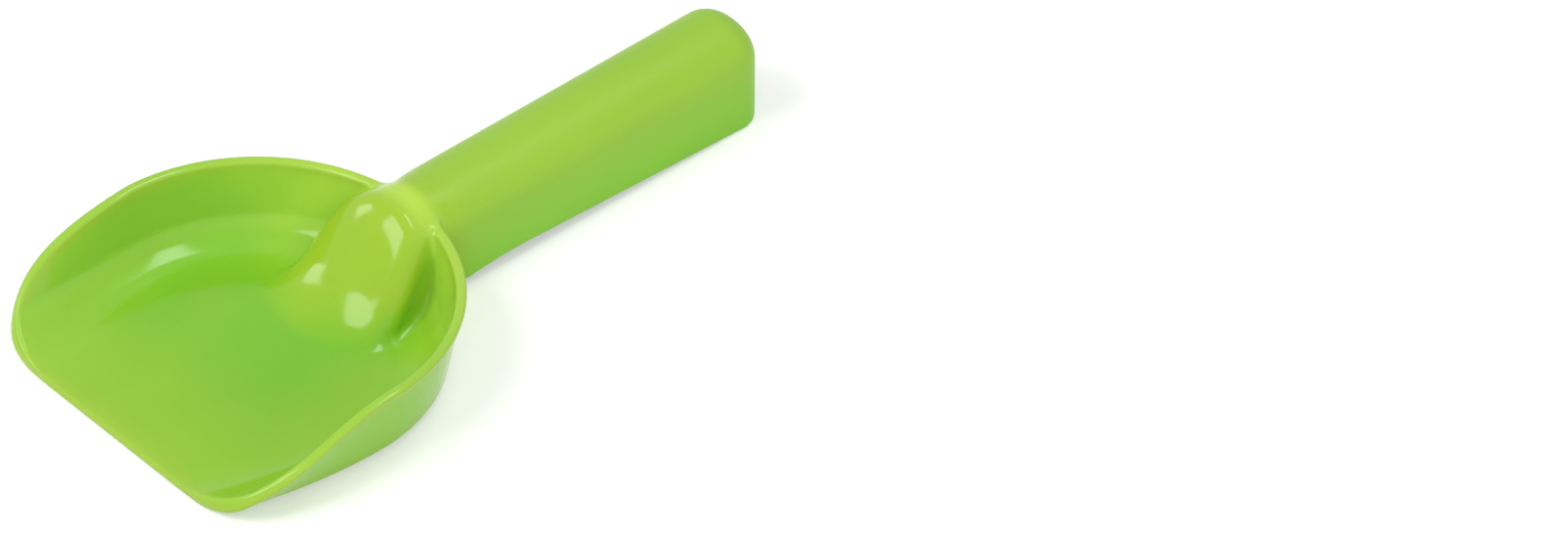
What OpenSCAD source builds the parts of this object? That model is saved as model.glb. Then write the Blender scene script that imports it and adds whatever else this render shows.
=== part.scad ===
// Child's sand scoop moulded in one shot of lime green polypropylene.
// The moulding is drawn as its regions, each a closed solid that meets its neighbours face to face:
// the scoop's shell, its rounded rim, the hump that brings the handle down into the scoop,
// the open channel of the grip, the domed end of the grip and the cross ribs below it.
// X runs along the scoop from the cutting edge to the end of the handle, Y across it, Z up.
// The origin lies under the middle of the whole length, on the surface that the scoop stands on.

/* [Scoop] */
// Length of the whole scoop, from the cutting edge to the end of the handle
overall_l = 220; // [200:1:240]
// Length of the bowl, from the cutting edge to the back of its rim
bowl_l = 104; // [98:0.5:112]
// Radius of the rim round the back of the bowl
rim_r = 55.1; // [52:0.1:58]
// Height of the rim above the surface that the scoop stands on
rim_h = 23.9; // [21:0.1:28]
// Length in which the rim rises from the cutting edge to its full height
sweep_l = 51; // [42:1:58]
// Half width that the rim's sides open to if they are drawn on to the cutting edge
rim_open = 64.4; // [58:0.1:66]
// How far the back wall leans out on its way up to the rim
back_lean = 5.2; // [3:0.1:8]
// How far the side walls lean out on their way up to the rim, where the bowl is widest
side_lean = 3.9; // [1.5:0.1:5]
// Width between the walls at the foot of the cutting edge
front_w = 81; // [76:1:92]
// Thickness of the walls
wall = 2.3; // [1.8:0.1:2.8]
// Thickness of the floor
floor_t = 2.3; // [1.8:0.1:2.8]
// Width of the rounding between base and wall, outside
corner_w = 7.6; // [6:0.1:11]
// Height of the rounding between base and wall, outside
corner_h = 4.2; // [3:0.1:7]
// Width of the rounding between floor and wall, inside
hollow_w = 11; // [9:0.5:13]
// Height of the rounding between floor and wall, inside
hollow_h = 7; // [6:0.5:9]

/* [Rim] */
// Height of the rounded rim on the edge of the walls
bead_h = 1.3; // [1:0.1:1.6]
// How far the rim stands out from the walls
lip = 0.7; // [0.4:0.1:1]

/* [Hump] */
// Length of the hump, from its foot on the floor to the back of the rim
hump_l = 43; // [36:0.5:50]
// How far in front of the rim's back the hump reaches the height of the grip
hump_flat = 8; // [4:0.5:12]
// Width of the hump's neck, in front of the back wall
hump_w = 24; // [22:0.5:26]
// Width of the hump's broad nose on the floor
nose_w = 41; // [36:0.5:43]
// Length in which the nose reaches its full width
nose_l = 14; // [11:0.5:18]
// Height of the nose's rounded edge
nose_h = 1; // [0.6:0.1:2]
// How far the neck's sides spread at their foot
foot_spread = 3.5; // [2:0.5:5]
// How far the nose's sides spread at their foot
nose_spread = 1.2; // [0.6:0.1:2]
// Length of the moulding behind the bowl that belongs to the hump
root_l = 8; // [6:0.5:10]

/* [Grip] */
// Width of the grip where it leaves the bowl
grip_w = 26.4; // [25:0.1:30]
// Width of the grip at its end
grip_end_w = 25.8; // [24:0.1:28]
// How much wider the grip's lower edges are than its sides, for release from the mould
grip_draft = 1.2; // [0.4:0.1:1.6]
// Height of the grip's top where it leaves the bowl
grip_top = 28.2; // [26:0.1:32]
// Height of the grip's top at its end
grip_end_top = 30.5; // [28:0.1:33]
// Height of the arch over the grip's sides
arch_h = 11.4; // [10:0.1:13]
// Height of the grip's lower edges at the end, above the surface that the scoop stands on
edge_end = 0; // [0:0.1:1]
// Rise of the grip's lower edges where they are highest
edge_rise = 4; // [3:0.1:5]
// Height of the grip's lower edges where they leave the bowl
edge_bowl = 2.2; // [1:0.1:3]
// Length in which the lower edges sink to that height
edge_dip_l = 22; // [15:1:30]
// Radius of the rounding round the grip's end
end_round = 8.6; // [6:0.1:10]

/* [Ribs] */
// Number of cross ribs below the grip
rib_n = 3; // [2:1:4]
// Thickness of a rib
rib_t = 1.6; // [1.2:0.1:2]
// How far the ribs stop above the grip's lower edges
rib_up = 5; // [3:0.5:7]

/* [Hidden] */
lime = "#9ccb3b";
// Overrun of a cut beyond what it cuts
over = 1;

// Shapes of curves, as powers of a share
sweep_share = 1.8;
rise_share = 0.78;
arch_share = 2.1;
wall_share = 1.6;
start_share = 0.01;
toe_share = 1.4;
nose_share = 0.25;
neck_share = 1.3;
flare_share = 2.2;
ring_share = 1.5;
bead_rise_share = 0.12;
// Least depth of the hollow below the hump
skim = 0.2;

// The rays that the bowl is drawn on start above the middle of the base's rounded back
base_r = rim_r - side_lean;
mid_x = bowl_l - back_lean - base_r;
rim_mid_x = bowl_l - rim_r;
shell_r = rim_r - lip;
shell_h = rim_h - bead_h;
front_x = bead_h;
foot_x = bowl_l - hump_l;
root_x = bowl_l + root_l;

// Steps of the rays, in degrees, closer together round the two front corners
ray_step = 6;
corner_step = 2;
front_step = 7;
corner_from = 102;
corner_to = 146;
half_rays = concat([for (a = [0:ray_step:corner_from - ray_step]) a],
                   [for (a = [corner_from:corner_step:corner_to]) a],
                   [for (a = [corner_to + front_step:front_step:180 - front_step / 2]) a]);
rays = concat(half_rays, [180], [for (i = [len(half_rays) - 1:-1:1]) 360 - half_rays[i]]);
wall_rings = 8;
bead_pts = 6;
arch_pts = 9;
flank_pts = 3;
hump_rings = 24;
grip_rings = 10;
end_rings = 6;
solve_steps = 18;

// Level k runs from 0 at the base to 1 at the rim: the outline's radius, middle and front half width
function level_r(k) = base_r + (shell_r - base_r) * k;
function level_x(k) = mid_x + (rim_mid_x - mid_x) * k;
function level_w(k) = front_w / 2 + (rim_open - front_w / 2) * k;

// How far a rounded corner of width w and height h draws the outline in at height z
function corner_in(z, w, h) = z >= h ? 0 : w * (1 - sqrt(1 - pow(1 - z / h, 2)));

// Share of the rim's height that is reached at x
function sweep(x) = x <= front_x ? 0
    : x >= front_x + sweep_l ? 1
    : pow(1 - pow(1 - (x - front_x) / sweep_l, sweep_share), rise_share);

// Length of a ray from the middle to the outline at level k, drawn in by t: round the back it meets
// a circle, and along the sides a curve that opens or closes towards the cutting edge
function ray_back(a, k, t) = let (q = level_x(k) - mid_x, r = level_r(k) - t)
    q * cos(a) + sqrt(max(0, r * r - pow(q * sin(a), 2)));
function ray_side(a, k, t) =
    let (q = level_x(k) - mid_x, c = cos(a), s = abs(sin(a)),
         b = (level_r(k) - level_w(k)) / pow(level_x(k), 2),
         r = level_r(k) - t - b * q * q, m = s - 2 * b * q * c)
    2 * r / (m + sqrt(max(0, m * m + 4 * b * c * c * r)));
function ray(a, k, t) = let (d = ray_back(a, k, t))
    mid_x + d * cos(a) >= level_x(k) ? d : ray_side(a, k, t);

// A skin of the bowl is [lowest z, drawn in by, corner width, corner height]
outer = [0, 0, corner_w, corner_h];
inner = [floor_t, wall, hollow_w, hollow_h];
function skin_z(s, k) = s[0] + (shell_h - s[0]) * k;
function skin_ray(s, a, k) = ray(a, k, s[1] + corner_in(skin_z(s, k) - s[0], s[2], s[3]));

// Level at which a ray meets the rim's sweep, found by halving
function rim_level(s, a, lo = 0, hi = 1, n = solve_steps) = n == 0 ? (lo + hi) / 2
    : let (k = (lo + hi) / 2)
      sweep(mid_x + skin_ray(s, a, k) * cos(a)) > k ? rim_level(s, a, k, hi, n - 1)
    : rim_level(s, a, lo, k, n - 1);

// Ray, flat part and rim of a skin: [angle, length of the flat, level of the rim]
function flat_end(s, a) = cos(a) < 0 ? min(skin_ray(s, a, 0), (mid_x - front_x) / -cos(a)) : skin_ray(s, a, 0);
function spoke(s, a) = let (f = flat_end(s, a), open = f < skin_ray(s, a, 0))
    [a, f, open ? 0 : sweep(mid_x + skin_ray(s, a, 1) * cos(a)) == 1 ? 1 : rim_level(s, a)];
function at(a, d, z) = [mid_x + d * cos(a), d * sin(a), z];

// Points of one spoke from the middle of the floor out to the rim. A low wall shares its rings with
// the strip of floor before it, so that no two points fall together along the cutting edge.
function spoke_pts(s, p) =
    let (a = p[0], k1 = p[2], rise = skin_z(s, k1) - s[0],
         run = k1 > 0 ? skin_ray(s, a, k1) - p[1] : 0,
         pad = max(0, corner_w - rise - run), all = rise + run + pad, start = p[1] - pad)
    concat([at(a, start / 2, s[0])],
           [for (i = [0:wall_rings]) let (u = all * i / wall_rings - pad)
               u <= 0 ? at(a, start + all * i / wall_rings, s[0])
               : let (k = k1 * pow(u / (all - pad), wall_share)) at(a, skin_ray(s, a, k), skin_z(s, k))]);

spokes_out = [for (a = rays) spoke_pts(outer, spoke(outer, a))];
spokes_in = [for (a = rays) spoke_pts(inner, spoke(inner, a))];
rings = len(spokes_out[0]);
rim_out = [for (s = spokes_out) s[rings - 1]];
rim_in = [for (s = spokes_in) s[rings - 1]];

// Triangles of a band between two closed rings of n points that start at i and j
function band(n, i, j) = [for (p = [0:n - 1]) let (q = (p + 1) % n) each [[i + p, i + q, j + q], [i + p, j + q, j + p]]];

// A closed solid lofted through rings of equal count, each end closed by a fan to its own middle
function mean(pts) = [for (i = [0:2]) let (v = [for (p = pts) p[i]]) v * [for (x = v) 1] / len(v)];
module loft(sections) {
    n = len(sections[0]);
    m = len(sections);
    pts = [for (s = sections) each s];
    polyhedron(concat(pts, [mean(sections[0]), mean(sections[m - 1])]),
               concat([for (i = [0:m - 2]) each band(n, (i + 1) * n, i * n)],
                      [for (p = [0:n - 1]) [p, (p + 1) % n, m * n]],
                      [for (p = [0:n - 1]) [(m - 1) * n + (p + 1) % n, (m - 1) * n + p, m * n + 1]]));
}

// Floor and walls of the bowl, with the back still whole
module bowl_blank() {
    n = len(rays);
    pts = concat([for (j = [0:rings - 1]) each [for (s = spokes_out) s[j]]],
                 [for (j = [0:rings - 1]) each [for (s = spokes_in) s[j]]],
                 [[mid_x, 0, 0], [mid_x, 0, floor_t]]);
    top = rings * n;
    polyhedron(pts, concat(
        [for (j = [0:rings - 2]) each band(n, (j + 1) * n, j * n)],
        [for (j = [0:rings - 2]) each band(n, top + j * n, top + (j + 1) * n)],
        band(n, top + (rings - 1) * n, (rings - 1) * n),
        [for (p = [0:n - 1]) [p, (p + 1) % n, 2 * top]],
        [for (p = [0:n - 1]) [top + (p + 1) % n, top + p, 2 * top + 1]]));
}

// Section of the rim at station i: it sits on the wall's edge, swells over it and overhangs outside
function unit(v) = v / norm(v);
function bead_section(i) =
    let (n = len(rays), po = rim_out[i], pi = rim_in[i],
         along = unit(rim_out[(i + 1) % n] + rim_in[(i + 1) % n] - rim_out[(i + n - 1) % n] - rim_in[(i + n - 1) % n]),
         across = unit(po - pi), up = unit(cross(along, across)) * -1,
         stand = lip * min(1, max(0, (po[2]) / corner_h)), w = norm(po - pi) + stand)
    concat([pi, po], [for (j = [0:bead_pts]) let (t = 180 * j / bead_pts)
        if (j < bead_pts) pi + across * w / 2 * (1 + cos(t)) + up * bead_h * (j == 0 ? bead_rise_share : sin(t))]);
module rim_blank() {
    n = len(rays);
    sections = [for (i = [0:n - 1]) bead_section(i)];
    m = len(sections[0]);
    polyhedron([for (s = sections) each s],
               [for (i = [0:n - 1]) let (k = (i + 1) % n)
                   each [for (p = [0:m - 1]) let (q = (p + 1) % m)
                       each [[i * m + p, k * m + q, k * m + p], [i * m + p, i * m + q, k * m + q]]]]);
}

// Share of the way from one x to another, held between 0 and 1
function share(x, from, to) = max(0, min(1, (x - from) / (to - from)));
function ease(u) = u * u * (3 - 2 * u);

// Half width and crown of the grip, and the height of its lower edges
function grip_half(x) = (grip_w + (grip_end_w - grip_w) * share(x, root_x, overall_l)) / 2;
function grip_crown(x) = grip_top + (grip_end_top - grip_top) * share(x, root_x, overall_l);
function edge_z(x) = edge_end + edge_rise * (1 - share(x, root_x, overall_l - end_round))
    - (edge_end + edge_rise - edge_bowl) * pow(1 - share(x, root_x, root_x + edge_dip_l), 2);

// Grip and hump share one family of sections: an arch of half width h and height up to the crown,
// on sides that flare from the spring down to half width e and end in a straight skirt above low
function flank(x, h, e, foot, spring, flare) = [for (i = [1:flank_pts]) let (v = i / flank_pts)
    [x, h + (e - h) * pow(1 - v, flare), foot + (spring - foot) * v]];
function arch_section(x, h, crown, spring, e, low, skirt, flare) =
    let (side = concat([[x, e, low], [x, e, low + skirt]], flank(x, h, e, low + skirt, spring, flare)),
         n = len(side))
    concat(side,
           [for (i = [1:arch_pts * 2 - 1]) let (t = 90 * i / arch_pts, c = cos(t), s = sin(t))
               [x, h * sign(c) * pow(abs(c), 2 / arch_share), spring + (crown - spring) * pow(s, 2 / arch_share)]],
           [for (i = [1:n]) let (q = side[n - i]) [x, -q[1], q[2]]]);

// Section of the grip at x, drawn in by t all round but for its open lower side, and by r more at the
// rounded end
function grip_spring(x) = grip_crown(x) - arch_h;
function grip_section(x, t, r = 0) =
    let (h = grip_half(x) - t - r, crown = grip_crown(x) - t - r)
    arch_section(x, h, crown, min(crown - over, grip_spring(x)), h + grip_draft / 2, edge_z(x), floor_t, 1);

// The hump is a broad blunt nose on the floor that narrows to a neck and rises to the grip's height,
// and widens a little to the grip behind the back wall
function hump_rise(x) = start_share + (1 - start_share) * ease(pow(share(x, foot_x, bowl_l - hump_flat), toe_share));
function nose_edge(x) = 1 - pow(1 - share(x, foot_x - over, foot_x + nose_l), 2);
function hump_crown(x) = floor_t + nose_h * sqrt(nose_edge(x)) * (1 - ease(share(x, foot_x, bowl_l)))
    + (grip_crown(x) - floor_t) * hump_rise(x);
function neck(x) = pow(share(x, foot_x + nose_l, bowl_l), neck_share);
function behind(x) = ease(share(x, bowl_l - wall, root_x));
function hump_half(x) = let (body = (nose_w + (hump_w - nose_w) * neck(x)) / 2)
    (body + (grip_half(x) - body) * behind(x)) * pow(nose_edge(x), nose_share);
function hump_spread(x) = grip_draft / 2
    + (nose_spread + (foot_spread - nose_spread) * ease(neck(x))) * sqrt(nose_edge(x))
      * (1 - ease(share(x, bowl_l - 3 * wall, bowl_l)));
function hump_section(x, t) =
    let (out = share(x, bowl_l, root_x),
         low = edge_bowl * ease(share(x, mid_x + base_r - hollow_w, bowl_l)),
         skirt = t == 0 ? floor_t : skim + (floor_t - skim) * out,
         h = hump_half(x) - t,
         crown = max(low + skirt + 2 * skim, hump_crown(x) - t),
         arch = (arch_h - t) * max(hump_rise(x), share(x, foot_x, foot_x + nose_l)),
         spring = max(low + skirt + skim, crown - arch))
    arch_section(x, h, crown, spring, h + hump_spread(x), low, skirt, flare_share + (1 - flare_share) * out);
hump_xs = [for (i = [0:hump_rings]) foot_x + (root_x - foot_x) * i / hump_rings];

// A channel of even wall, lofted through outer and inner sections of equal count, open below.
// Where it is closed, its last pair of sections carries an end wall.
function strip(n, i, j) = [for (p = [0:n - 2]) each [[i + p, i + p + 1, j + p + 1], [i + p, j + p + 1, j + p]]];
module channel(outs, ins, closed = false) {
    n = len(outs[0]);
    m = len(outs);
    k = m * n;
    last = (m - 1) * n;
    polyhedron(concat([for (s = outs) each s], [for (s = ins) each s], [mean(outs[m - 1]), mean(ins[m - 1])]),
        concat([for (i = [0:m - 2]) each strip(n, (i + 1) * n, i * n)],
               [for (i = [0:m - 2]) each strip(n, k + i * n, k + (i + 1) * n)],
               [for (i = [0:m - 2]) let (a = i * n, b = (i + 1) * n)
                   each [[a, k + b, b], [a, k + a, k + b]]],
               [for (i = [0:m - 2]) let (a = i * n + n - 1, b = (i + 1) * n + n - 1)
                   each [[a, b, k + b], [a, k + b, k + a]]],
               strip(n, 0, k),
               !closed ? strip(n, k + last, last)
               : concat([for (p = [0:n - 1]) [last + (p + 1) % n, last + p, 2 * k]],
                        [for (p = [0:n - 1]) [k + last + p, k + last + (p + 1) % n, 2 * k + 1]],
                        [[last, k + last + n - 1, last + n - 1], [last, k + last, k + last + n - 1]])));
}

// The space that the hump and the root of the grip take out of the bowl's floor, wall and rim
module hump_space() loft([for (x = hump_xs) let (s = hump_section(x, 0), e = s[0][1])
    concat([[x, e, -over]], s, [[x, -e, -over]])]);

module placed() color(lime) translate([-overall_l / 2, 0, 0]) children();

module bowl_shell() placed() difference() {
    bowl_blank();
    hump_space();
}

module rim_bead() placed() difference() {
    rim_blank();
    hump_space();
}

module handle_hump() placed() channel([for (x = hump_xs) hump_section(x, 0)],
                                      [for (x = hump_xs) hump_section(x, wall)]);

module grip_channel() {
    to = overall_l - end_round;
    xs = [for (i = [0:grip_rings]) root_x + (to - root_x) * pow(i / grip_rings, ring_share)];
    placed() channel([for (x = xs) grip_section(x, 0)], [for (x = xs) grip_section(x, wall)]);
}

module grip_end() {
    from = overall_l - end_round;
    inner_round = end_round - wall;
    turns = [for (i = [0:end_rings]) 90 * i / end_rings];
    placed() channel([for (t = turns) grip_section(from + end_round * sin(t), 0, end_round * (1 - cos(t)))],
                     [for (t = turns) grip_section(from + inner_round * sin(t), wall, inner_round * (1 - cos(t)))],
                     closed = true);
}

// A rib fills the channel from side to side, up to its lower edge
function rib_section(x) =
    let (h = grip_half(x) - wall, z = edge_z(x) + rib_up, spring = grip_spring(x), foot = edge_z(x) + floor_t)
    arch_section(x, h, grip_crown(x) - wall, spring, h + grip_draft / 2 * (spring - z) / (spring - foot), z, skim, 1);
module grip_ribs() placed() for (i = [1:rib_n]) {
    x = root_x + (overall_l - root_x) * i / (rib_n + 1);
    loft([rib_section(x - rib_t / 2), rib_section(x + rib_t / 2)]);
}

bowl_shell();
rim_bead();
handle_hump();
grip_channel();
grip_end();
grip_ribs();
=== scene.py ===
# %% [markdown]
# # Sand scoop
# A child's sand scoop, moulded in one shot of lime green plastic. The bowl is glossy inside, with a rounded
# rim that sweeps down to the cutting edge. A hump brings the handle over the back wall down to the floor,
# and the grip behind it is a satin arch that is hollow below.
# The form could be joined from a bowl and a bent tube with booleans, but then every corner would want a
# bevel of its own. Here the moulding is one function of space that is negative in the plastic, so that
# every corner has its small fillet, as in the real mould.

# %% [markdown]
# ## The frame
# The CAD part is packed already. Its frame gives the boxes of the solids and the body that they ride on.
# The box of the whole part is kept here, because the dressed part has to stay inside it.

# %% The frame that the CAD part was packed in
import math
import bmesh
import bpy
import numpy as np
from mathutils import Matrix, Vector


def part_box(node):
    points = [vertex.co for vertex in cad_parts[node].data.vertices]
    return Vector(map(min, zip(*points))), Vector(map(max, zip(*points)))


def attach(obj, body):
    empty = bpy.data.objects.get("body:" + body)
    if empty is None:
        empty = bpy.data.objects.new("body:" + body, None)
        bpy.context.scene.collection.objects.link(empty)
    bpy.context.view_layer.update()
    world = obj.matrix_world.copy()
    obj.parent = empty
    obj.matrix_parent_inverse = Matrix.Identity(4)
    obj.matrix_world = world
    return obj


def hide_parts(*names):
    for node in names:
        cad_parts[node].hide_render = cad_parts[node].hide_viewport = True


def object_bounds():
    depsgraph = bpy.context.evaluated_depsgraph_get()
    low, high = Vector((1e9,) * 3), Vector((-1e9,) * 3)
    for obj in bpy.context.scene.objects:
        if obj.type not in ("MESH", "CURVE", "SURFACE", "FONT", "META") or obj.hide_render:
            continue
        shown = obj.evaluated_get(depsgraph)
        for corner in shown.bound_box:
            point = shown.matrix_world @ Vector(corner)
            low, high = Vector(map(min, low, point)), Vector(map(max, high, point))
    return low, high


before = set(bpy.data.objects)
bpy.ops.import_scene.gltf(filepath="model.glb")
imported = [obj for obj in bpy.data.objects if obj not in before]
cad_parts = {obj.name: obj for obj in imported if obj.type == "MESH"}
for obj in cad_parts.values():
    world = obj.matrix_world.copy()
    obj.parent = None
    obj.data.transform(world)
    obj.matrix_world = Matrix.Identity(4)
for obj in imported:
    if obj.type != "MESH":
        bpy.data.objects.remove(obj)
cad_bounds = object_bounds()
print("CAD box in metres", [[round(c, 4) for c in corner] for corner in cad_bounds])
print("nodes in the frame", len(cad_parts))

# %% [markdown]
# ## Sizes of the bowl
# The bowl is a round dish with leaning walls, straight in front. Lengths are in millimetres, with x from
# the cutting edge, as in the CAD source. What the frame's boxes tell is read from them, and the rest
# repeats the driving sizes of the moulding, so that both models change together.

# %% Sizes of the bowl
MM = 0.001
low_corner, high_corner = cad_bounds
overall_l = (high_corner.x - low_corner.x) / MM
shell_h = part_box("bowl_shell")[1].z / MM
rim_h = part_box("rim_bead")[1].z / MM
bead_h = rim_h - shell_h
bowl_l = 104.0
lip = 0.7
rim_r = 55.1
back_lean = 5.2
side_lean = 3.9
base_r = rim_r - side_lean
shell_r = rim_r - lip
mid_x = bowl_l - back_lean - base_r
rim_mid_x = bowl_l - rim_r
front_half = 81 / 2
rim_open = 64.4
wall = 2.3
floor_t = 2.3
print("walls", round(shell_h, 2), "with the rim", round(rim_h, 2), "overall", round(overall_l, 2))

# %% [markdown]
# ## Sizes of the rim and the corners
# Seen from the side, the rim leaves the cutting edge steeply and then flattens out, and two powers shape
# that line. The rim's section is a superellipse, because the real rim is a little flatter than round. The
# corners between floor and wall are wider than high.

# %% Sizes of the rim and the corners
front_x = bead_h
sweep_l = 51.0
sweep_bend, sweep_lift = 1.8, 0.78
bead_power = 2.8
corner_w, corner_h = 7.6, 4.2
hollow_w, hollow_h = 11.0, 7.0
thinnest, bead_least = 0.1, 0.3
rim_steps = 49
print("rim bead", round(bead_h, 2), "high, sweep", sweep_l, "long")

# %% [markdown]
# ## Sizes of the hump
# The hump starts on the floor as a broad blunt nose, narrows to a neck and rises over the back wall. Its
# foot spreads a little to the sides. The nose starts below the floor's face and comes up out of it, or its
# front edge would show as a step.

# %% Sizes of the hump
foot_x = bowl_l - 43
hump_flat = 8.0
rise_bend = 1.4
neck_half, neck_bend = 12.0, 1.3
nose_half = 41 / 2
nose_l, nose_h = 14.0, 1.0
toe_width, toe_growth = 0.7, 0.3
toe_sink = 2.4
foot_spread, nose_spread = 3.5, 1.2
foot_bend = 2.2
over, skim = 1.0, 0.2
print("hump from", foot_x, "to", bowl_l, "nose", 2 * nose_half, "wide, neck", 2 * neck_half)

# %% [markdown]
# ## Sizes of the grip
# The grip is an arch for a child's hand, with a hollow below and three thin ribs across it. Its lower edge
# slopes gently down to the table at the far end, and dips where it meets the bowl. The top of the end and
# the root come from the frame, and the other sizes are the CAD part's own.

# %% Sizes of the grip
root_x = (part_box("grip_channel")[0].x - low_corner.x) / MM
grip_half, end_half = 13.2, 12.9
draft = 0.6
grip_top, end_top = 28.2, high_corner.z / MM
arch_h, arch_power = 11.4, 2.1
edge_rise, edge_bowl, edge_dip_l = 4.0, 2.2, 22.0
end_round = 8.6
rib_n, rib_t, rib_up = 3, 1.6, 5.0
print("grip from", round(root_x, 2), "to", round(overall_l, 2), "top", grip_top, "to", round(end_top, 2))

# %% [markdown]
# ## Tools for distances
# Each part of the function is close to a true distance in millimetres. Then a soft minimum of two parts
# works like a fillet of that width, and a soft maximum like a rounded corner. A share is 0 at its start, 1
# at its end and linear between, and ease makes it a smooth step.

# %% Tools for distances
TINY = 1e-6


def share(x, start, end):
    return np.clip((x - start) / (end - start), 0, 1)


def ease(u):
    return u * u * (3 - 2 * u)


def blend_min(a, b, width):
    h = np.maximum(width - np.abs(a - b), 0) / width
    return np.minimum(a, b) - h * h * width / 4


def blend_max(a, b, width):
    return -blend_min(-a, -b, width)


def rounded(p, q, w, h):
    """Space deeper than p behind one face and q behind another, with a rounding of w by h between them."""
    u = np.maximum(1 - p / w, 0)
    v = np.maximum(1 - q / h, 0)
    g = np.hypot(u, v)
    corner = (g - 1) * g / np.maximum(np.hypot(u / w, v / h), TINY)
    return np.where((u > 0) & (v > 0), corner, -np.minimum(p, q))


print("a fillet 1 mm wide fills", -blend_min(0, 0, 1), "mm of its corner")

# %% [markdown]
# ## Plan of the bowl
# From above the bowl is round at the back, and its sides bow in to the straight cutting edge. The walls
# lean out, so the plan grows from the base to the rim. One formula for all heights keeps the inner and the
# outer face alike.

# %% Plan of the bowl
def outline(x, y, k, inset):
    """Distance outside the plan, drawn in by inset, where k is 0 at the base and 1 at the rim."""
    r = base_r + (shell_r - base_r) * k
    mx = mid_x + (rim_mid_x - mid_x) * k
    bow = (r - front_half - (rim_open - front_half) * k) / mx ** 2
    back = np.hypot(x - mx, y) - r + inset
    side = (np.abs(y) - r + inset + bow * (x - mx) ** 2) / np.sqrt(1 + (2 * bow * (x - mx)) ** 2)
    return np.where(x >= mx, back, side)


print("back of the base at", round(float(mid_x - outline(mid_x, 0, 0, 0)), 2), "mm")

# %% [markdown]
# ## The line of the rim
# The walls could be cut by a plane or a spline. The real rim sweeps down in one curve that ends at the
# cutting edge, so the line is a short formula, and the distance to it is measured to small straight steps.

# %% The line of the rim
def sweep(x):
    """Height of the rim's line as a share of the walls, from the cutting edge to where it is level."""
    u = share(x, front_x, front_x + sweep_l)
    return (1 - (1 - u) ** sweep_bend) ** sweep_lift


def above_rim(x, z, base):
    """Distance above the line that the rim makes from the side, from height base at the cutting edge."""
    u = np.linspace(0, 1, rim_steps) ** 2
    px = np.concatenate([[front_x], front_x + sweep_l * u, [overall_l * 2]])
    pz = np.concatenate([[-overall_l], base + (shell_h - base) * sweep(px[1:-1]), [shell_h]])
    best = np.full(np.broadcast(x, z).shape, overall_l * overall_l)
    for i in range(len(px) - 1):
        dx = px[i + 1] - px[i]
        dz = pz[i + 1] - pz[i]
        t = np.clip(((x - px[i]) * dx + (z - pz[i]) * dz) / max(dx * dx + dz * dz, TINY), 0, 1)
        best = np.minimum(best, np.hypot(x - px[i] - t * dx, z - pz[i] - t * dz))
    above = (x < front_x) | (z > base + (shell_h - base) * sweep(x))
    return np.where(above, best, -best)


print("rim half way along its sweep at", round(float(shell_h * sweep(front_x + sweep_l / 2)), 1), "mm")

# %% [markdown]
# ## Bowl and rim bead
# The bowl is what lies inside its outer face and outside its inner one, cut by the rim's line. The bead
# sits on that cut: it is as wide as the wall and its lip together, and it runs out at the cutting edge.

# %% Bowl and rim bead
def bowl(x, y, z):
    out = -rounded(-outline(x, y, z / shell_h, 0), z, corner_w, corner_h)
    k = (z - floor_t) / (shell_h - floor_t)
    inn = rounded(-outline(x, y, k, wall), z - floor_t, hollow_w, hollow_h)
    across = np.clip(out / np.maximum(out + inn, thinnest), 0, 1)
    t_out = above_rim(x, z, 0)
    t_in = above_rim(x, z, floor_t)
    t = t_out + (t_in - t_out) * across
    stand = lip * np.clip(shell_h * sweep(x) / corner_h, 0, 1)
    stand = stand * np.where(t < 0, np.sqrt(np.maximum(1 - (t / bead_h) ** 2, 0)), 1)
    half = np.maximum((out + inn + stand) / 2, bead_least)
    u = np.abs(inn - half) / half
    v = np.maximum(t, 0) / bead_h
    g = (u ** bead_power + v ** bead_power) ** (1 / bead_power)
    slope = np.hypot(u ** (bead_power - 1) / half, v ** (bead_power - 1) / bead_h)
    bead = (g - 1) * g ** (bead_power - 1) / np.maximum(slope, TINY)
    slab = -np.minimum(inn, out + stand)
    return np.where(t > 0, bead, slab)


print("middle of the floor is", round(-float(bowl(mid_x, 0.0, floor_t / 2)), 2), "mm deep in the plastic")

# %% [markdown]
# ## Nose and lower edge
# On the real scoop the hump comes out of the floor with no step, and the grip's lower edge is straight. A
# loft between drawn sections would do as well, but lines that ease from one size to the next never wave,
# so each line here is a short function of x.

# %% Nose and lower edge
def nose_edge(x):
    """0 where the nose starts and 1 behind it."""
    return 1 - (1 - share(x, foot_x - over, foot_x + nose_l)) ** 2


def nose_sink(x):
    """How far the hump's start lies below its foot, so that it comes out of the floor without a step."""
    return toe_sink * (1 - share(x, foot_x - over, foot_x + nose_l / 2)) ** 2


def hump_rise(x):
    """0 at the nose and 1 where the hump has the height of the grip."""
    return 0.01 + 0.99 * ease(share(x, foot_x, bowl_l - hump_flat) ** rise_bend)


def edge(x):
    """Height of the lower edge."""
    grip = edge_rise * (1 - share(x, root_x, overall_l - end_round))
    grip = grip - (edge_rise - edge_bowl) * (1 - share(x, root_x, root_x + edge_dip_l)) ** 2
    return np.where(x < root_x, edge_bowl * ease(share(x, mid_x + base_r - hollow_w, bowl_l)), grip)


print("lower edge", [round(float(edge(at)), 2) for at in (root_x, root_x + edge_dip_l, overall_l)])

# %% [markdown]
# ## Width, spread and crown
# Hump and grip are one hollow body, so they share these lines too. The body is widest at the nose, narrow
# at the neck and then keeps the width of the grip. Its sides spread at the foot like a poured form, and
# stand up straight behind the back wall.

# %% Width, spread and crown
def neck_share(x):
    return share(x, foot_x + nose_l, bowl_l) ** neck_bend


def body_half(x):
    half_grip = grip_half + (end_half - grip_half) * share(x, root_x, overall_l)
    body = nose_half + (neck_half - nose_half) * neck_share(x)
    return body + (half_grip - body) * ease(share(x, bowl_l - wall, root_x))


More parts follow.
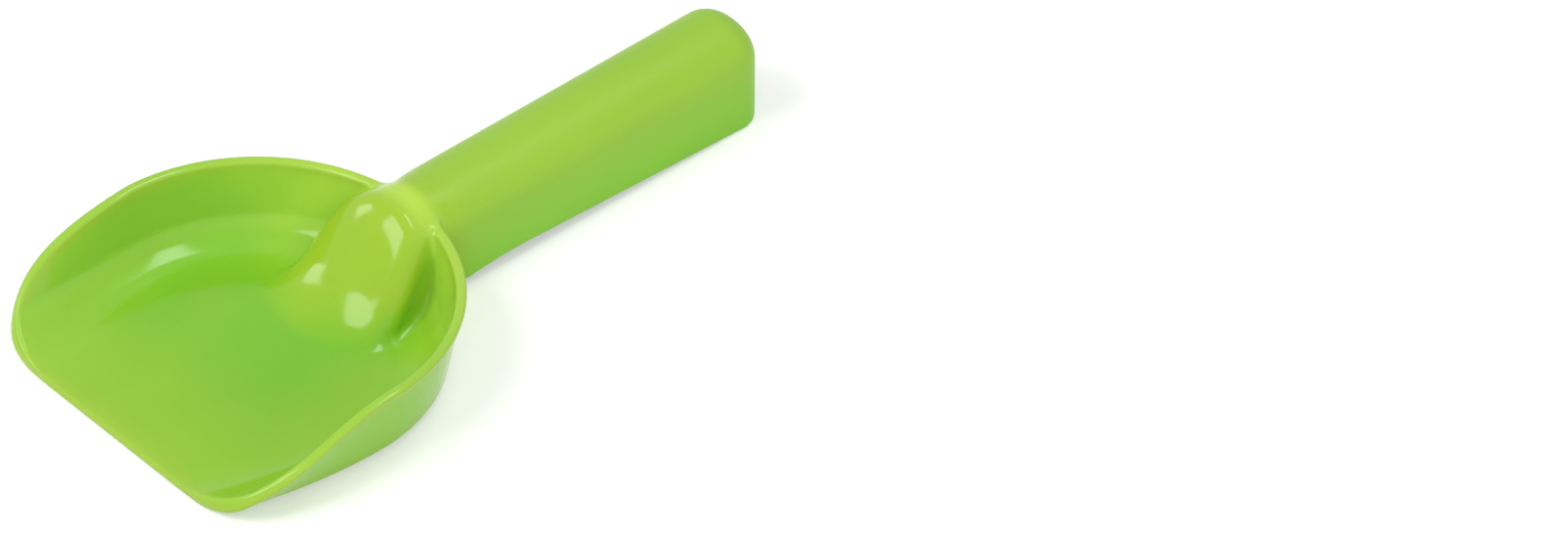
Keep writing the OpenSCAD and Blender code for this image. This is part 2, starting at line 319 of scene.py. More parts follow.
def side_spread(x):
    spread = (nose_spread + (foot_spread - nose_spread) * ease(neck_share(x))) * nose_edge(x)
    return draft + spread * (1 - ease(share(x, bowl_l - 3 * wall, bowl_l)))


def crown_height(x, inset):
    crown_grip = grip_top + (end_top - grip_top) * share(x, root_x, overall_l)
    toe = nose_h * nose_edge(x) * (1 - ease(share(x, foot_x, bowl_l))) - nose_sink(x)
    return floor_t + toe + (crown_grip - floor_t) * hump_rise(x) - inset


places = (foot_x, foot_x + nose_l, bowl_l, overall_l)
print("crown at the foot, nose, back wall and end", [round(float(crown_height(at, 0)), 1) for at in places])

# %% [markdown]
# ## The arch
# Each section is a superellipse on sides that flare to the foot. The hollow below is the same arch drawn in
# by the wall, so the plastic is equally thick all round. Both are corrected for their slope along the
# scoop, because a distance measured across the slope would be too large.

# %% The arch
least_size = 0.05
least_round = 1e-3
least_slope = 1e-4
steepest_side, steepest_along = 1.5, 1.2
hollow_spread = 0.5


def arch(x, y, z, inset):
    """Distance outside the arch, drawn in by inset."""
    out = share(x, bowl_l, root_x)
    skirt = floor_t * out if inset == 0 else skim + (floor_t - skim) * out - nose_sink(x) * 2
    foot = edge(x) + skirt
    crown = np.maximum(foot + 2 * skim, crown_height(x, inset))
    height = (arch_h - inset) * np.maximum(hump_rise(x), share(x, foot_x, foot_x + nose_l))
    spring = np.maximum(foot + skim, crown - height)
    h = np.maximum(body_half(x) * (toe_width + toe_growth * nose_edge(x)) - inset, least_size)
    ah = np.maximum(crown - spring, least_size)
    u = np.abs(y) / h
    v = np.maximum(z - spring, 0) / ah
    g = (u ** arch_power + v ** arch_power) ** (1 / arch_power)
    slope = np.hypot(u ** (arch_power - 1) / h, v ** (arch_power - 1) / ah)
    slope = slope * np.maximum(g, least_round) ** (1 - arch_power)
    upper = np.maximum((g - 1) / np.maximum(slope, least_slope), np.maximum(np.abs(y) - h, z - crown))
    w = np.clip((z - foot) / np.maximum(spring - foot, least_size), 0, 1)
    spread = side_spread(x)
    spread = spread if inset == 0 else np.minimum(spread, hollow_spread * (spring - foot))
    flare = foot_bend + (1 - foot_bend) * out
    side = h + spread * (1 - w) ** flare
    lean = spread * flare * (1 - w) ** (flare - 1) / np.maximum(spring - foot, least_size)
    lean = np.where((w > 0) & (w < 1), lean, 0)
    lower = (np.abs(y) - side) / np.sqrt(1 + np.minimum(lean, steepest_side) ** 2)
    return np.where(z > spring, upper, lower)


def true_arch(x, y, z, inset, step=0.05):
    """The arch corrected for its slope along the scoop."""
    f = arch(x, y, z, inset)
    along = (arch(x + step, y, z, inset) - arch(x - step, y, z, inset)) / (2 * step)
    return f / np.sqrt(1 + np.minimum(np.abs(along), steepest_along) ** 2)


print("wall of the grip", round(float(arch(150.0, 0.0, 20.0, wall) - arch(150.0, 0.0, 20.0, 0)), 2), "mm")

# %% [markdown]
# ## The whole moulding
# Bowl and arch are joined with a fillet, the hollow is taken out of both, and the ribs are put back into
# it. The order matters, because the hollow has to open the bowl's back wall too.

# %% The whole moulding
fillet, nose_fillet, rib_fillet = 0.8, 1.6, 0.6


def moulding(x, y, z):
    outer = rounded(-true_arch(x, y, z, 0), overall_l - x, end_round, end_round)
    outer = np.maximum(outer, foot_x - over - x)
    inner_round = end_round - wall
    hollow = rounded(-true_arch(x, y, z, wall), overall_l - wall - x, inner_round, inner_round)
    hollow = np.maximum(hollow, foot_x - x)
    outer = blend_max(outer, edge(x) - z, fillet)
    width = fillet + nose_fillet * ease(share(x, foot_x, foot_x + nose_l))
    body = blend_min(bowl(x, y, z), outer, width)
    body = blend_max(body, -hollow, fillet)
    for i in range(rib_n):
        at = root_x + (overall_l - root_x) * (i + 1) / (rib_n + 1)
        rib = blend_max(np.abs(x - at) - rib_t / 2, edge(x) + rib_up - z, rib_fillet)
        rib = np.maximum(rib, hollow - wall / 2)
        body = blend_min(body, np.maximum(rib, outer), rib_fillet)
    return np.maximum(body, -z)


print("ribs every", round((overall_l - root_x) / (rib_n + 1), 1), "mm")

# %% [markdown]
# ## From the function to a mesh
# A voxel remesh would round the rim and the cutting edge away. Here a grid of cells is laid over the
# moulding. Each cell that the surface passes through gets one vertex, and the four cells round each crossed
# grid line make a quad.

# %% A grid of cells
def mixed_cells(inside, n):
    """Cells with some corners in the plastic and some outside it."""
    count = np.zeros(n, np.int8)
    for i in (0, 1):
        for j in (0, 1):
            for k in (0, 1):
                count += inside[i:n[0] + i, j:n[1] + j, k:n[2] + k]
    return (count > 0) & (count < 8)


def grid_mesh(field, lo, hi, step):
    axes = [np.arange(lo[i], hi[i] + step, step) for i in range(3)]
    x, y, z = np.meshgrid(*axes, indexing="ij", sparse=True)
    inside = field(x, y, z) < 0
    n = [len(a) - 1 for a in axes]
    mixed = mixed_cells(inside, n)
    cell = np.full(n, -1, np.int64)
    cell[mixed] = np.arange(mixed.sum())
    points = (np.argwhere(mixed) + 0.5) * step + np.array(lo)
    quads = []
    for axis in range(3):
        a, b = (axis + 1) % 3, (axis + 2) % 3
        first = np.take(inside, range(n[axis]), axis)
        second = np.take(inside, range(1, n[axis] + 1), axis)
        at = np.argwhere(first != second)
        at = at[(at[:, a] > 0) & (at[:, b] > 0) & (at[:, a] < n[a]) & (at[:, b] < n[b])]
        leaves = first[tuple(at.T)]
        ring = []
        for da, db in ((1, 1), (0, 1), (0, 0), (1, 0)):
            c = at.copy()
            c[:, a] -= da
            c[:, b] -= db
            ring.append(cell[tuple(c.T)])
        quad = np.stack(ring, 1)
        quad[~leaves] = quad[~leaves][:, ::-1]
        quads.append(quad)
    return points, np.concatenate(quads)


# The grid's low corner keeps its planes off the flat faces, and no two sheets share an edge there.
grid_low, grid_high = (-2.03, -58.2, -1.47), (222.0, 58.0, 33.0)
cell_size = 0.6
points, quads = grid_mesh(moulding, grid_low, grid_high, cell_size)
print("grid of", cell_size, "mm:", len(points), "vertices,", len(quads), "quads")

# %% [markdown]
# ## On to the surface
# The vertices still sit in the middle of their cells. They slide down the slope of the function on to the
# surface, are evened out among their neighbours, and slide back. What stands past the CAD part's box by a
# few hundredths of a millimetre is clipped.

# %% On to the surface
softest = 0.2
evening = 0.5


def slope_at(field, p, step=0.02):
    g = np.empty_like(p)
    for i in range(3):
        d = np.zeros(3)
        d[i] = step
        g[:, i] = (field(*(p + d).T) - field(*(p - d).T)) / (2 * step)
    return g


def on_surface(field, p, rounds, reach):
    for _ in range(rounds):
        g = slope_at(field, p)
        move = -g * (field(*p.T) / np.maximum((g * g).sum(1), softest))[:, None]
        far = np.linalg.norm(move, axis=1, keepdims=True)
        p = p + move * np.minimum(1, reach / np.maximum(far, TINY))
    return p


def evened(field, p, quads, rounds, reach):
    """Vertices drawn towards the middle of their neighbours, and back on to the surface."""
    a = quads.ravel()
    b = np.roll(quads, -1, 1).ravel()
    n = len(p)
    links = np.bincount(a, minlength=n) + np.bincount(b, minlength=n)
    for _ in range(rounds):
        q = np.stack([np.bincount(a, p[b, i], n) + np.bincount(b, p[a, i], n) for i in range(3)], 1)
        p = on_surface(field, p + (q / links[:, None] - p) * evening, 1, reach)
    return p


points = on_surface(moulding, points, 3, cell_size)
points = evened(moulding, points, quads, 2, cell_size)
points = on_surface(moulding, points, 2, cell_size)
print("furthest from the surface", round(float(np.abs(moulding(*points.T)).max()), 3), "mm")
box_low, box_high = (np.array(c) / MM + [overall_l / 2, 0, 0] for c in cad_bounds)
points = np.clip(points, box_low, box_high)

# %% [markdown]
# ## Masks for the painted glow
# On the real scoop light comes through the thin walls, and through the rim most of all, and here that light
# is painted into the colour. Where the walls and edges are is known from the function, so each vertex keeps
# two numbers that the painted glow uses later. Painting such masks by hand would have to be done again
# after each change of shape.

# %% Masks for the painted glow
# Sizes of the masks that place the painted glow, in millimetres.
wall_low, wall_high = 1, 9
fade_start, fade_end = wall + 0.5, wall + 8
border_share = 0.35
edge_fade, edge_glow, front_glow = 2.5, 1.6, 2.5


# Mask of the painted glow through the walls, with a weaker share in the corners by the floor.
def glow_wall_share(x, y, z):
    """1 on both faces of the bowl's wall, 0 on the floor, the hump and the grip."""
    deep = -outline(x, y, np.clip(z / shell_h, 0, 1), 0)
    up = ease(share(z, wall_low, wall_high)) * (1 - ease(share(x, bowl_l - wall, bowl_l + wall)))
    border = border_share * (1 - ease(share(deep, hollow_w, 2 * hollow_w))) * (z > skim)
    on_wall = (1 - ease(share(deep, fade_start, fade_end))) * up
    return np.maximum(on_wall, border * (x < bowl_l) * (z < hollow_h))


# Mask of the painted glow along the rim and the cutting edge.
def rim_glow_share(x, y, z):
    """1 on the rim and the cutting edge, fading within a few millimetres."""
    deep = -outline(x, y, np.clip(z / shell_h, 0, 1), 0)
    line = np.minimum(np.abs(above_rim(x, z, 0)), np.abs(above_rim(x, z, floor_t)))
    on_wall = (1 - ease(share(deep, wall, wall + edge_fade))) * (x < bowl_l + 1)
    return np.maximum(np.exp(-line / edge_glow) * on_wall, np.exp(-np.maximum(x, 0) / front_glow))


print("share of vertices on thin walls with painted glow", round(float((glow_wall_share(*points.T) > 0.5).mean()), 2))

# %% [markdown]
# ## Two pieces of one moulding
# The real scoop is one piece. The mesh is cut at the root of the grip, where the finish changes, so that
# bowl and grip each stand for their own solids. Each side is closed by a flat cap, and the caps meet.

# %% Cut and cap
def half_of(mesh, side):
    """Keeps the mesh on one side of the grip's root and closes the cut."""
    bm = bmesh.new()
    bm.from_mesh(mesh)
    seam = Vector(((root_x - overall_l / 2) * MM, 0, 0))
    everything = bm.verts[:] + bm.edges[:] + bm.faces[:]
    bmesh.ops.bisect_plane(bm, geom=everything, dist=1e-7, plane_co=seam, plane_no=(side, 0, 0),
                           clear_outer=True)
    cut = [e for e in bm.edges if e.is_boundary]
    made = bmesh.ops.triangle_fill(bm, use_beauty=True, edges=cut, normal=(side, 0, 0))
    caps = [f for f in made["geom"] if isinstance(f, bmesh.types.BMFace)]
    for f in bm.faces:
        f.smooth = True
    for f in caps:
        f.smooth = False
    bm.to_mesh(mesh)
    unshared = sum(1 for e in bm.edges if not e.is_manifold)
    print(mesh.name, len(bm.faces), "faces,", unshared, "edges without two faces,",
          round(bm.calc_volume() / MM ** 3), "mm3")
    bm.free()


# %% [markdown]
# ## Masks and normals on the mesh
# Normals averaged from faces show the grid in the gloss. The slope of the function is the exact normal, so
# every corner of every face gets that one, and the caps keep their flat one.

# %% Masks and normals
def dress(mesh, side):
    co = np.empty(len(mesh.vertices) * 3, np.float32)
    mesh.vertices.foreach_get("co", co)
    places = co.reshape(-1, 3).astype(float) / MM + [overall_l / 2, 0, 0]
    # The masks 'thin' and 'edge' place the painted glow of the walls and the rim.
    for label, values in (("thin", glow_wall_share(*places.T)), ("edge", rim_glow_share(*places.T))):
        layer = mesh.attributes.new(label, "FLOAT", "POINT")
        layer.data.foreach_set("value", values.astype(np.float32))
    slopes = slope_at(moulding, places)
    slopes /= np.linalg.norm(slopes, axis=1, keepdims=True)
    loops = np.empty(len(mesh.loops), np.int32)
    mesh.loops.foreach_get("vertex_index", loops)
    normals = slopes[loops]
    flat = [i for f in mesh.polygons if not f.use_smooth for i in f.loop_indices]
    normals[flat] = (side, 0, 0)
    mesh.normals_split_custom_set(normals.tolist())


def piece(name, side):
    mesh = bpy.data.meshes.new(name)
    mesh.from_pydata(((points - [overall_l / 2, 0, 0]) * MM).tolist(), [], quads.tolist())
    half_of(mesh, side)
    dress(mesh, side)
    made = bpy.data.objects.new(name, mesh)
    bpy.context.collection.objects.link(made)
    return made


bowl_piece = piece("scoop_bowl", 1)
grip_piece = piece("scoop_grip", -1)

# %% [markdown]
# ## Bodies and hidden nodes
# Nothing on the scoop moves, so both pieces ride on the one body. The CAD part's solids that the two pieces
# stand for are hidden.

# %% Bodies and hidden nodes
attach(bowl_piece, "root")
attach(grip_piece, "root")
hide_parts("bowl_shell", "rim_bead", "handle_hump")
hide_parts("grip_channel", "grip_end", "grip_ribs")
print("pieces", bowl_piece.name, grip_piece.name)

# %% [markdown]
# ## Effects that both finishes share
# Bowl and grip are one shot of plastic, so they share the effects that come from the plastic itself, and
# the light and glow that are painted into its colour. Each effect is a group of nodes that gives out a
# colour, a mask or a height, and the material decides what to do with it. All of them work on the object's
# own coordinates, in metres. A few helpers keep the groups short.

# %% Node group helpers
def new_group(name, inputs, outputs):
    group = bpy.data.node_groups.new(name, "ShaderNodeTree")
    for label, kind, value in inputs:
        group.interface.new_socket(label, in_out="INPUT", socket_type=kind).default_value = value
    for label, kind in outputs:
        group.interface.new_socket(label, in_out="OUTPUT", socket_type=kind)
    start = group.nodes.new("NodeGroupInput")
    end = group.nodes.new("NodeGroupOutput")
    return group, start, end


def feed(tree, socket, value):
    """Links another socket's value, or writes a plain one."""
    if isinstance(value, bpy.types.NodeSocket):
        tree.links.new(value, socket)
    else:
        socket.default_value = value


def math_node(tree, operation, a, b=0.0, clamp=False):
    node = tree.nodes.new("ShaderNodeMath")
    node.operation = operation
    node.use_clamp = clamp
    feed(tree, node.inputs[0], a)
    feed(tree, node.inputs[1], b)
    return node.outputs[0]


def mix_colors(tree, mask, a, b):
    node = tree.nodes.new("ShaderNodeMix")
    node.data_type = "RGBA"
    tree.links.new(mask, node.inputs["Factor"])
    feed(tree, node.inputs["A"], a)
    feed(tree, node.inputs["B"], b)
    return node.outputs["Result"]


# %% [markdown]
# ### Ramps, noise and places
# The painted light and glow of the scoop change softly from place to place, so most masks are a smooth step
# along one axis. The noise textures are Blender's own, because they need no image and never repeat.

# %% Ramps, noise and places
def ramp_node(tree, value, start, end):
    """0 below start, 1 above end, and a smooth step between them."""
    node = tree.nodes.new("ShaderNodeMapRange")
    node.interpolation_type = "SMOOTHSTEP"
    tree.links.new(value, node.inputs["Value"])
    feed(tree, node.inputs["From Min"], start)
    feed(tree, node.inputs["From Max"], end)
    return node.outputs["Result"]


def below_node(tree, value, start, end):
    """1 below start and 0 above end."""
    return math_node(tree, "SUBTRACT", 1.0, ramp_node(tree, value, start, end))


def noise_node(tree, vector, scale, detail=2.0):
    node = tree.nodes.new("ShaderNodeTexNoise")
    tree.links.new(vector, node.inputs["Vector"])
    node.inputs["Scale"].default_value = scale
    node.inputs["Detail"].default_value = detail
    return node.outputs["Fac"]


def swing_node(tree, noise, amount):
    """A noise that swings about zero, by half the amount to each side at most."""
    return math_node(tree, "MULTIPLY", math_node(tree, "SUBTRACT", noise, 0.5), amount)


def place_node(tree):
    return tree.nodes.new("ShaderNodeTexCoord").outputs["Object"]


def axes_node(tree, place):
    split = tree.nodes.new("ShaderNodeSeparateXYZ")
    tree.links.new(place, split.inputs[0])
    return split.outputs


def mask_node(tree, label):
    node = tree.nodes.new("ShaderNodeAttribute")
    node.attribute_name = label
    return node.outputs["Fac"]


# %% [markdown]
# ### Painted light and glow of thin walls
# A thin wall of pale plastic lets some light through, so the rim, the back wall and the hump look lighter
# and yellower than the floor. Real light inside the plastic is slow to render and made the whole part
# dark, so that light is painted into the colour: the group mixes colours by the masks of the mesh and by
# the place on the scoop. Deep is the plain green of the floor, with a painted glow towards the front, the
# near side and the middle. The hump gets painted light, the walls painted light against their shade, and
# the back wall and the rim a painted glow. A soft cloud keeps the changes from running as straight lines.

# %% Painted light and glow of thin walls
# Where the painted glow and light start and end, in metres, and the cloud that softens their borders.
GLOW_FRONT_X = (-0.105, -0.060)
GLOW_NEAR_Y = (-0.040, -0.012)
GLOW_MIDDLE_X = (-0.052, -0.034)
GLOW_MIDDLE_Y = (0.010, 0.024)
HUMP_LIGHT_Z = (0.0005, 0.0125)
BACK_GLOW_X = (-0.040, 0.002)
CLOUD_SCALE, CLOUD_SHIFT = 28, 0.012
GREEN = (0.2, 0.5, 0.01, 1)
COLOR_NAMES = ("Deep", "Painted front glow", "Painted hump light", "Side", "Painted back glow", "Painted rim glow")


def painted_light_group():
    inputs = [(label, "NodeSocketColor", GREEN) for label in COLOR_NAMES]
    group, start, end = new_group("thin walls with painted glow", inputs, [("Color", "NodeSocketColor")])
    place = place_node(group)
    split = axes_node(group, place)
    cloud = swing_node(group, noise_node(group, place, CLOUD_SCALE, 1.0), CLOUD_SHIFT)
    x = math_node(group, "ADD", split["X"], math_node(group, "MULTIPLY", cloud, 3.0))
    y = math_node(group, "ADD", split["Y"], math_node(group, "MULTIPLY", cloud, 2.0))
    z = math_node(group, "ADD", split["Z"], cloud)
    # Painted glow on the floor towards the cutting edge, the near side and the middle.
    front = below_node(group, x, *GLOW_FRONT_X)
    near = below_node(group, y, *GLOW_NEAR_Y)
    centre = below_node(group, math_node(group, "ABSOLUTE", split["Y"]), *GLOW_MIDDLE_Y)
    middle = math_node(group, "MULTIPLY", ramp_node(group, x, *GLOW_MIDDLE_X), centre)
    painted_glow = math_node(group, "MAXIMUM", math_node(group, "MAXIMUM", front, near), middle)
    color = mix_colors(group, painted_glow, start.outputs["Deep"], start.outputs["Painted front glow"])
    # Painted light on the hump, growing with height.
    color = mix_colors(group, ramp_node(group, z, *HUMP_LIGHT_Z), color, start.outputs["Painted hump light"])
    # Painted light on the side walls against their shade, and a painted glow on the back wall.
    walls = mix_colors(group, ramp_node(group, x, *BACK_GLOW_X), start.outputs["Side"], start.outputs["Painted back glow"])
    color = mix_colors(group, mask_node(group, "thin"), color, walls)
    # Painted glow along the rim and the cutting edge.
    color = mix_colors(group, mask_node(group, "edge"), color, start.outputs["Painted rim glow"])
    group.links.new(color, end.inputs["Color"])
    return group


painted_light_nodes = painted_light_group()
print(painted_light_nodes.name, len(painted_light_nodes.nodes), "nodes")

# %% [markdown]
# ### Flow marks and specks
# Moulded plastic is never quite even. Pigment is stirred in long soft clouds along the flow, with a few
# finer specks. The group gives a small change of brightness and a height for the bump.

# %% Flow marks
STRETCH = (0.45, 1.0, 1.0)
FLOW_SCALE, SPECK_SCALE = 45, 900
FLOW_CHANGE, SPECK_CHANGE = 0.10, 0.05
FLOW_HEIGHT, SPECK_HEIGHT = 0.8, 0.2


def flow_group():
    group, start, end = new_group("flow marks", [("Strength", "NodeSocketFloat", 1.0)],
                                  [("Brightness", "NodeSocketFloat"), ("Height", "NodeSocketFloat")])
    place = place_node(group)
    stretch = group.nodes.new("ShaderNodeMapping")
    group.links.new(place, stretch.inputs["Vector"])
    stretch.inputs["Scale"].default_value = STRETCH
    clouds = noise_node(group, stretch.outputs["Vector"], FLOW_SCALE, 3.0)
    specks = noise_node(group, place, SPECK_SCALE, 2.0)
    soft = swing_node(group, clouds, FLOW_CHANGE)
    fine = swing_node(group, specks, SPECK_CHANGE)
    change = math_node(group, "MULTIPLY", math_node(group, "ADD", soft, fine), start.outputs["Strength"])
    group.links.new(math_node(group, "ADD", change, 1.0), end.inputs["Brightness"])
    coarse = math_node(group, "MULTIPLY", clouds, FLOW_HEIGHT)
    small = math_node(group, "MULTIPLY", specks, SPECK_HEIGHT)
    group.links.new(math_node(group, "ADD", coarse, small), end.inputs["Height"])
    return group


flow_marks = flow_group()
print(flow_marks.name, len(flow_marks.nodes), "nodes")

# %% [markdown]
# ### From gloss to satin
# The mould is polished where the sand slides and spark eroded on the grip. The two meet without a line
# just behind the bowl, so the share of satin depends only on the place along the scoop. The grip's colour
# goes from yellow green on its crown to a cooler green low on its sides, painted light against their shade.

# %% Satin share
SATIN_START, SATIN_END = -0.012, 0.008
SATIN_LIGHT_Z = (0.004, 0.026)
GRAIN_SCALE = 2600


def satin_group():
    group, start, end = new_group("satin share", [("Start", "NodeSocketFloat", SATIN_START),
                                                  ("End", "NodeSocketFloat", SATIN_END),
                                                  ("Top", "NodeSocketColor", GREEN),
                                                  ("Low painted light", "NodeSocketColor", GREEN)],
                                  [("Mask", "NodeSocketFloat"), ("Grain", "NodeSocketFloat"),
                                   ("Color", "NodeSocketColor")])
    place = place_node(group)
    split = axes_node(group, place)
    mask = ramp_node(group, split["X"], start.outputs["Start"], start.outputs["End"])
    group.links.new(mask, end.inputs["Mask"])
    group.links.new(noise_node(group, place, GRAIN_SCALE, 1.0), end.inputs["Grain"])
    # Painted light low on the grip's sides, against their shade.
    height = ramp_node(group, split["Z"], *SATIN_LIGHT_Z)
    color = mix_colors(group, height, start.outputs["Low painted light"], start.outputs["Top"])
    group.links.new(color, end.inputs["Color"])
    return group


satin_share = satin_group()
print(satin_share.name, len(satin_share.nodes), "nodes")

# %% [markdown]
# ## Colours and finish of the plastic
# The pigment is a lime green. The floor of the bowl is the deepest green, and the other colours of the bowl
# carry painted light and glow, the walls most of all. The satin grip has its own two greens, the lower one
# with painted light against the shade of its sides. The gloss reflects a little less than fresh polished
# plastic would, because sand dulls it. All values stand here, so that another colour of scoop takes one
# cell.

# %% Colours and finish of the plastic
# Deep is the plain green of the floor; the other colours carry painted light and glow.
COLORS = {"Deep": (0.175, 0.485, 0.018, 1),
          "Painted front glow": (0.255, 0.500, 0.020, 1),
          "Painted hump light": (0.325, 0.520, 0.024, 1),
          "Side": (0.270, 0.560, 0.044, 1),
          "Painted back glow": (0.500, 0.730, 0.066, 1),
          "Painted rim glow": (0.345, 0.540, 0.045, 1)}
SATIN_TOP = (0.290, 0.530, 0.042, 1)
SATIN_LOW_PAINTED_LIGHT = (0.220, 0.545, 0.028, 1)
SATIN_COVER = 0.9
GLOSS_ROUGH, SATIN_ROUGH = 0.12, 0.42
GRAIN_HEIGHT, BUMP_STRENGTH, FLOW_BUMP = 0.00004, 0.5, 0.5
PLASTIC_IOR, GLOSS_LEVEL = 1.46, 0.35
print("greens", sorted(COLORS))

# %% [markdown]
# ## The plastic
# One function makes both finishes, because it is one plastic. Only the roughness, the colour and the grain
# depend on the share of satin, so the change behind the bowl has no line in either piece.

# %% Plastic
def placed(tree, group):
    node = tree.nodes.new("ShaderNodeGroup")
    node.node_tree = group
    return node


def plastic_color(tree, walls, flow, satin):
    cover = math_node(tree, "MULTIPLY", satin.outputs["Mask"], SATIN_COVER)
    value = tree.nodes.new("ShaderNodeHueSaturation")
    color = mix_colors(tree, cover, walls.outputs["Color"], satin.outputs["Color"])
    tree.links.new(color, value.inputs["Color"])
    tree.links.new(flow.outputs["Brightness"], value.inputs["Value"])
    return value.outputs["Color"]


def plastic_bump(tree, flow, satin):
    grain = math_node(tree, "MULTIPLY", satin.outputs["Mask"], satin.outputs["Grain"])
    height = math_node(tree, "ADD", grain, math_node(tree, "MULTIPLY", flow.outputs["Height"], FLOW_BUMP))
    bump = tree.nodes.new("ShaderNodeBump")
    bump.inputs["Distance"].default_value = GRAIN_HEIGHT
    bump.inputs["Strength"].default_value = BUMP_STRENGTH
    tree.links.new(height, bump.inputs["Height"])
    return bump.outputs["Normal"]


def plastic(name):
    mat = bpy.data.materials.new(name)
    mat.use_nodes = True
    tree = mat.node_tree
    bsdf = tree.nodes["Principled BSDF"]
    walls = placed(tree, painted_light_nodes)
    flow = placed(tree, flow_marks)
    satin = placed(tree, satin_share)
    for label, color in COLORS.items():
        walls.inputs[label].default_value = color
    satin.inputs["Top"].default_value = SATIN_TOP
    satin.inputs["Low painted light"].default_value = SATIN_LOW_PAINTED_LIGHT
    rough = tree.nodes.new("ShaderNodeMapRange")
    tree.links.new(satin.outputs["Mask"], rough.inputs["Value"])
    rough.inputs["To Min"].default_value = GLOSS_ROUGH
    rough.inputs["To Max"].default_value = SATIN_ROUGH
    tree.links.new(plastic_color(tree, walls, flow, satin), bsdf.inputs["Base Color"])
    tree.links.new(rough.outputs["Result"], bsdf.inputs["Roughness"])
    tree.links.new(plastic_bump(tree, flow, satin), bsdf.inputs["Normal"])
    bsdf.inputs["IOR"].default_value = PLASTIC_IOR
    bsdf.inputs["Specular IOR Level"].default_value = GLOSS_LEVEL
    return mat


bowl_piece.data.materials.append(plastic("bowl gloss"))
grip_piece.data.materials.append(plastic("grip satin"))
print("materials", [m.name for m in bpy.data.materials])

# %% [markdown]
# ## Floor
# A plain white floor that keeps the shadow. At a plain level of light white paint renders grey, so to the
# camera the floor adds a little light of its own, which never reaches the scoop. Its face lies a tenth of
# a millimetre below the scoop, or the two would flicker.

# %% Floor
FLOOR_WHITE = (0.80, 0.80, 0.80, 1)
FLOOR_ROUGH, FLOOR_GLOW = 0.9, 0.32
half_floor, floor_z = 4.0, -0.0001


def seen_directly(tree):
    """1 for camera, glossy and transmission rays, else 0."""
    path = tree.nodes.new("ShaderNodeLightPath")
    first = math_node(tree, "ADD", path.outputs["Is Camera Ray"], path.outputs["Is Glossy Ray"])
    return math_node(tree, "ADD", first, path.outputs["Is Transmission Ray"], clamp=True)


def floor_material():
    mat = bpy.data.materials.new("white floor")
    mat.use_nodes = True
    tree = mat.node_tree
    bsdf = tree.nodes["Principled BSDF"]
    bsdf.inputs["Base Color"].default_value = FLOOR_WHITE
    bsdf.inputs["Roughness"].default_value = FLOOR_ROUGH
    bsdf.inputs["Emission Color"].default_value = (1, 1, 1, 1)
    glow = math_node(tree, "MULTIPLY", seen_directly(tree), FLOOR_GLOW)
    tree.links.new(glow, bsdf.inputs["Emission Strength"])
    return mat


floor_mesh = bpy.data.meshes.new("floor")
corners = [(x * half_floor, y * half_floor, floor_z) for x, y in ((-1, -1), (1, -1), (1, 1), (-1, 1))]
floor_mesh.from_pydata(corners, [], [(0, 1, 2, 3)])
floor = bpy.data.objects.new("floor", floor_mesh)
bpy.context.collection.objects.link(floor)
floor_mesh.materials.append(floor_material())
print("floor", 2 * half_floor, "m wide")

# %% [markdown]
# ## Camera
# The photo was taken from the left front corner, from 40 degrees above the table, with a long lens and a
# small roll. The camera could be aimed with a constraint. Here its three axes are written out, because a
# constraint would drop the roll.

# %% Camera
az, el, roll = (math.radians(t) for t in (-44.663, 40.275, 2.621))
place = Vector((-1.0965, -1.2435, 1.4049))
side = Vector((math.cos(az), math.sin(az), 0))
rise = Vector((-math.sin(el) * math.sin(az), math.sin(el) * math.cos(az), math.cos(el)))
ahead = Vector((-math.sin(az) * math.cos(el), math.cos(az) * math.cos(el), -math.sin(el)))
right = math.cos(roll) * side + math.sin(roll) * rise
up = -math.sin(roll) * side + math.cos(roll) * rise
cam_data = bpy.data.cameras.new("camera")
cam_data.lens = 186.4
cam_data.sensor_width = 36
cam_data.clip_end = 20
cam = bpy.data.objects.new("camera", cam_data)
bpy.context.collection.objects.link(cam)
cam.matrix_world = Matrix.Translation(place) @ Matrix((right, up, -ahead)).transposed().to_4x4()
bpy.context.scene.camera = cam
print("camera", round(place.length, 2), "m from the middle of the scoop")

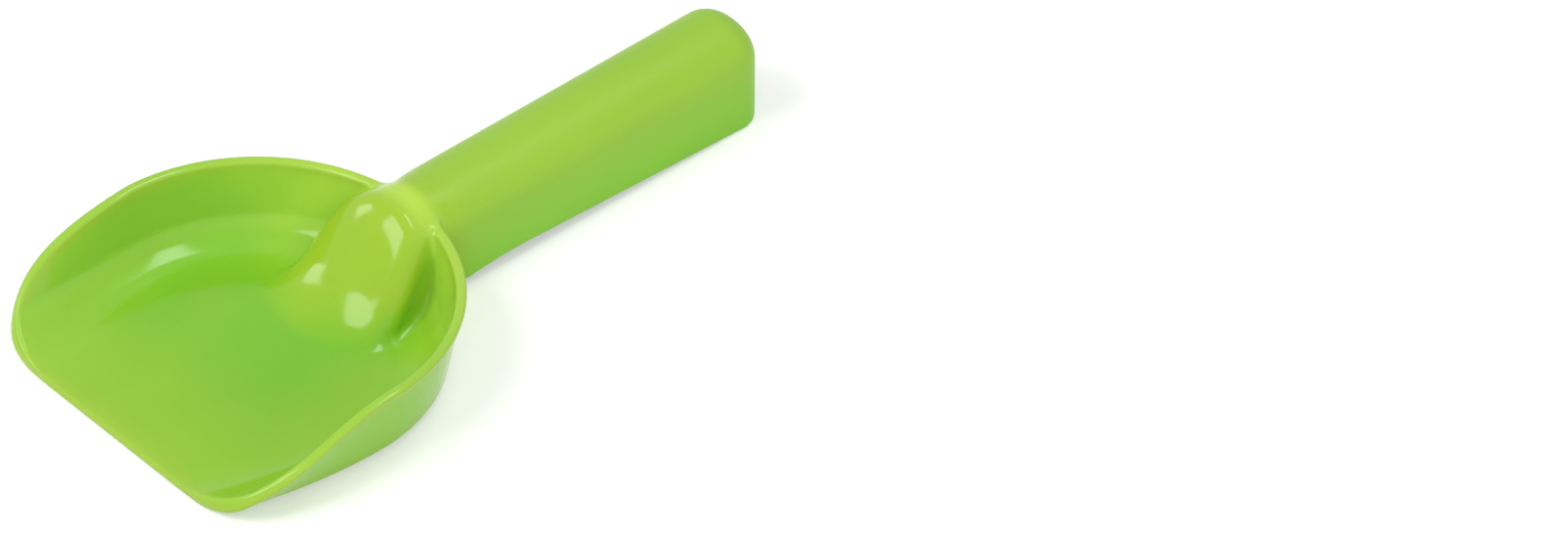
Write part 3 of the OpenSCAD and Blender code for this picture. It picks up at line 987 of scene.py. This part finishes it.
# %% [markdown]
# ## Softboxes
# Three softboxes make the window-shaped highlights: one at the left for the hump, a narrow one overhead
# for the far side of the bowl, and a small one behind. Two wide dim ones, near and right, fill the sides
# and stay out of the reflections. Each is given by its direction from the bowl and by the half width and
# half height that it shows from there, because that is what a highlight's place and form tell.

# %% Softboxes
bowl_middle = Vector((-0.035, 0, 0.01))


def softbox(name, direction, distance, across, along, radiance, mirrored):
    data = bpy.data.lights.new(name, "AREA")
    data.shape = "RECTANGLE"
    data.size = 2 * across * distance
    data.size_y = 2 * along * distance
    data.energy = radiance * math.pi * data.size * data.size_y
    lamp = bpy.data.objects.new(name, data)
    bpy.context.collection.objects.link(lamp)
    v = Vector(direction).normalized()
    sideways = Vector((0, 0, 1)).cross(v).normalized()
    turn = Matrix((sideways, v.cross(sideways), v)).transposed().to_4x4()
    lamp.matrix_world = Matrix.Translation(bowl_middle + v * distance) @ turn
    lamp.visible_glossy = mirrored
    print(name, round(data.size, 2), "by", round(data.size_y, 2), "m,", round(data.energy, 1), "W")


softbox("softbox left", (-0.615, 0.188, 0.766), 1.3, 0.277, 0.249, 6.0, True)
softbox("softbox top", (0.346, -0.075, 0.935), 1.3, 0.25, 0.088, 7.0, True)
softbox("softbox back", (-0.408, 0.80, 0.438), 1.3, 0.12, 0.14, 5.2, True)
softbox("softbox near", (-0.30, -0.78, 0.55), 1.6, 0.60, 0.46, 1.2, False)
softbox("softbox right", (0.57, -0.80, 0.20), 1.6, 0.45, 0.18, 1.4, False)

# %% [markdown]
# ## World
# The world is white to the camera and in reflections, like the background of the photo. As a light it is
# much weaker, so that the softboxes shape the scoop.

# %% World
ambient = 0.33
world = bpy.data.worlds.new("studio")
world.use_nodes = True
tree = world.node_tree
background = tree.nodes["Background"]
background.inputs["Color"].default_value = (1, 1, 1, 1)
shown = math_node(tree, "MULTIPLY", seen_directly(tree), 1 - ambient)
tree.links.new(math_node(tree, "ADD", shown, ambient), background.inputs["Strength"])
bpy.context.scene.world = world
bpy.context.scene.view_settings.view_transform = "Standard"
print("ambient light", ambient)

# %% [markdown]
# ## The box
# The dressed part stays inside the CAD part's box, and that box is printed.

# %% Finish
print("CAD box", [[round(c, 5) for c in corner] for corner in cad_bounds])
